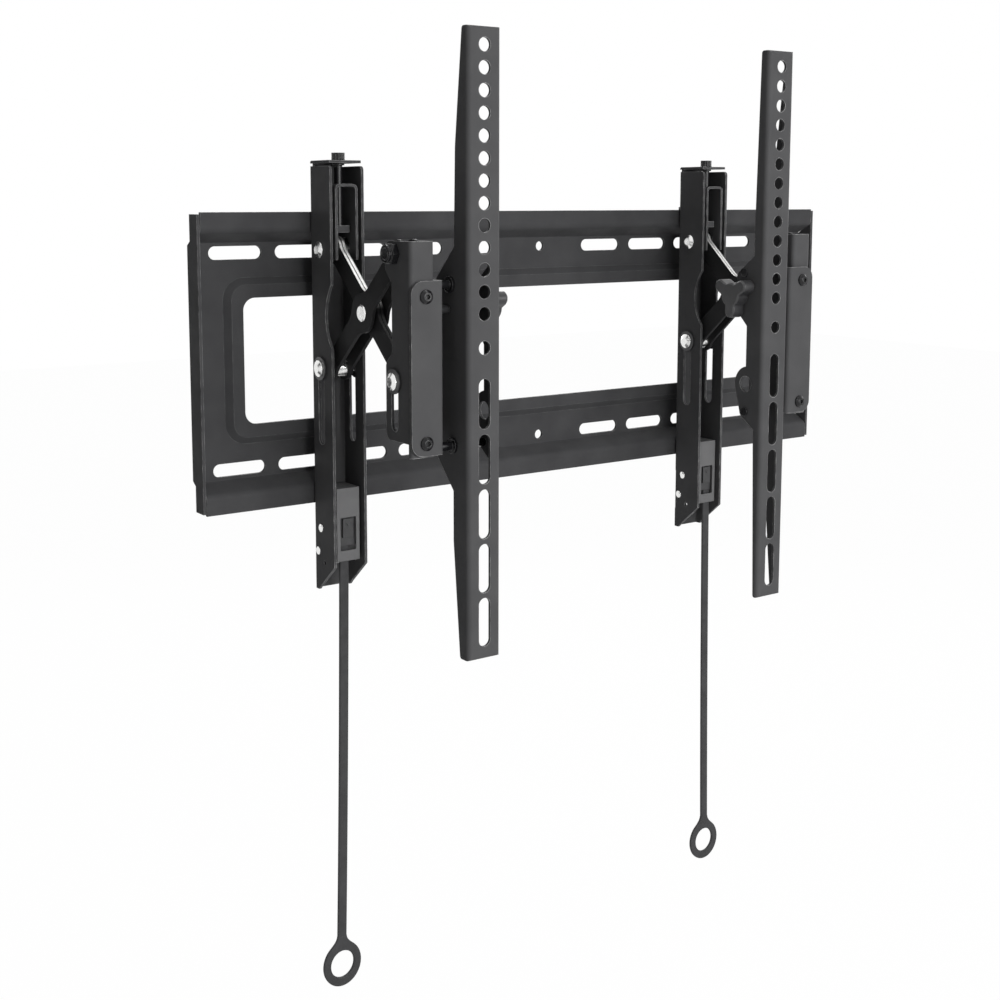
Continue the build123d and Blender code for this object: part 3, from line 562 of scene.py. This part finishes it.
def latch_spring(side):
    """A coil of round wire, which shortens towards the floor of the cover as the latch is pulled down."""
    node = f"{side}_latch_spring"
    low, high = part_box(node)
    middle = (low + high) / 2
    radius = (high.x - low.x - SPRING_WIRE) / 2
    rise = high.z - low.z - SPRING_WIRE
    steps = SPRING_TURNS * SPRING_STEPS
    helix = []
    for step in range(steps + 1):
        angle = 2 * math.pi * step / SPRING_STEPS
        x = middle.x + HAND[side] * radius * math.cos(angle)
        y = middle.y + radius * math.sin(angle)
        helix.append((x, y, low.z + SPRING_WIRE / 2 + rise * step / steps))
    curve = new_curve(f"{node}_path", "3D")
    add_line(curve, helix)
    curve.bevel_depth = SPRING_WIRE / 2
    curve.bevel_resolution = WIRE_STEPS
    curve.use_fill_caps = True
    coil = mesh_piece(f"{side}_latch_coil", curve, "spring_steel")
    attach(coil, f"{side}_carriage_body")
    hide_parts(node)
    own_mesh(coil)


def seen(nodes, links):
    """1 where the camera sees a surface, straight, mirrored or through something clear."""
    path = nodes.new("ShaderNodeLightPath")
    straight = path.outputs["Is Camera Ray"]
    mirrored = path.outputs["Is Glossy Ray"]
    either = combine(nodes, links, "MAXIMUM", straight, mirrored)
    return combine(nodes, links, "MAXIMUM", either, path.outputs["Is Transmission Ray"])


def make_world():
    """White where it is seen, and a weak even light elsewhere."""
    world = bpy.data.worlds.new("studio")
    world.use_nodes = True
    nodes = world.node_tree.nodes
    links = world.node_tree.links
    light = nodes["Background"]
    light.inputs["Color"].default_value = WHITE
    light.inputs["Strength"].default_value = AMBIENT
    white = nodes.new("ShaderNodeBackground")
    white.inputs["Color"].default_value = WHITE
    white.inputs["Strength"].default_value = WHITE_STRENGTH
    mix = nodes.new("ShaderNodeMixShader")
    links.new(seen(nodes, links), mix.inputs["Fac"])
    links.new(light.outputs["Background"], mix.inputs[1])
    links.new(white.outputs["Background"], mix.inputs[2])
    links.new(mix.outputs["Shader"], nodes["World Output"].inputs["Surface"])
    bpy.context.scene.world = world


def make_floor():
    """A pale floor that runs into the white background and keeps a faint shadow."""
    data = bpy.data.meshes.new("floor")
    quarters = ((-1, -1), (1, -1), (1, 1), (-1, 1))
    corners = [(FLOOR_HALF * x, FLOOR_HALF * y, FLOOR_Z) for x, y in quarters]
    data.from_pydata(corners, [], [(0, 1, 2, 3)])
    floor = bpy.data.objects.new("floor", data)
    show(floor)
    material, nodes, links, shader = node_tree("pale_floor")
    shader.inputs["Base Color"].default_value = FLOOR_TONE
    shader.inputs["Roughness"].default_value = FLOOR_ROUGH
    white = nodes.new("ShaderNodeEmission")
    white.inputs["Color"].default_value = WHITE
    white.inputs["Strength"].default_value = WHITE_STRENGTH
    mix = nodes.new("ShaderNodeMixShader")
    share = spread(nodes, links, seen(nodes, links), 0.0, FLOOR_WHITE, MASK_BAND)
    links.new(share, mix.inputs["Fac"])
    links.new(shader.outputs["BSDF"], mix.inputs[1])
    links.new(white.outputs["Emission"], mix.inputs[2])
    links.new(mix.outputs["Shader"], nodes["Material Output"].inputs["Surface"])
    data.materials.append(material)


def make_lamp(name, place, size, power):
    """A soft rectangular lamp that looks at the middle of the bracket."""
    data = bpy.data.lights.new(name, "AREA")
    data.shape = "RECTANGLE"
    data.size, data.size_y = size
    data.energy = power
    light = bpy.data.objects.new(name, data)
    show(light)
    light.location = place
    aim = bpy.data.objects.new(f"{name}_aim", None)
    show(aim)
    aim.location = LAMP_AIM
    track = light.constraints.new("TRACK_TO")
    track.target = aim
    track.track_axis = "TRACK_NEGATIVE_Z"
    track.up_axis = "UP_Y"


def make_camera():
    data = bpy.data.cameras.new("photo_camera")
    data.sensor_width = CAMERA_SENSOR
    data.lens = CAMERA_LENS
    data.shift_x, data.shift_y = CAMERA_SHIFT
    data.clip_start, data.clip_end = CAMERA_RANGE
    camera = bpy.data.objects.new("photo_camera", data)
    show(camera)
    camera.location = CAMERA_PLACE
    camera.rotation_euler = (math.radians(90 - CAMERA_DIP), 0, math.radians(CAMERA_TURN))
    bpy.context.scene.camera = camera


make_camera()
for side in ("left", "right"):
    pull_strap(side, pull_ring(side))
    latch_spring(side)
dress_nodes()
make_world()
make_floor()
for name, (place, size, power) in LAMPS.items():
    make_lamp(name, place, size, power)
bpy.context.scene.view_settings.view_transform = "Standard"
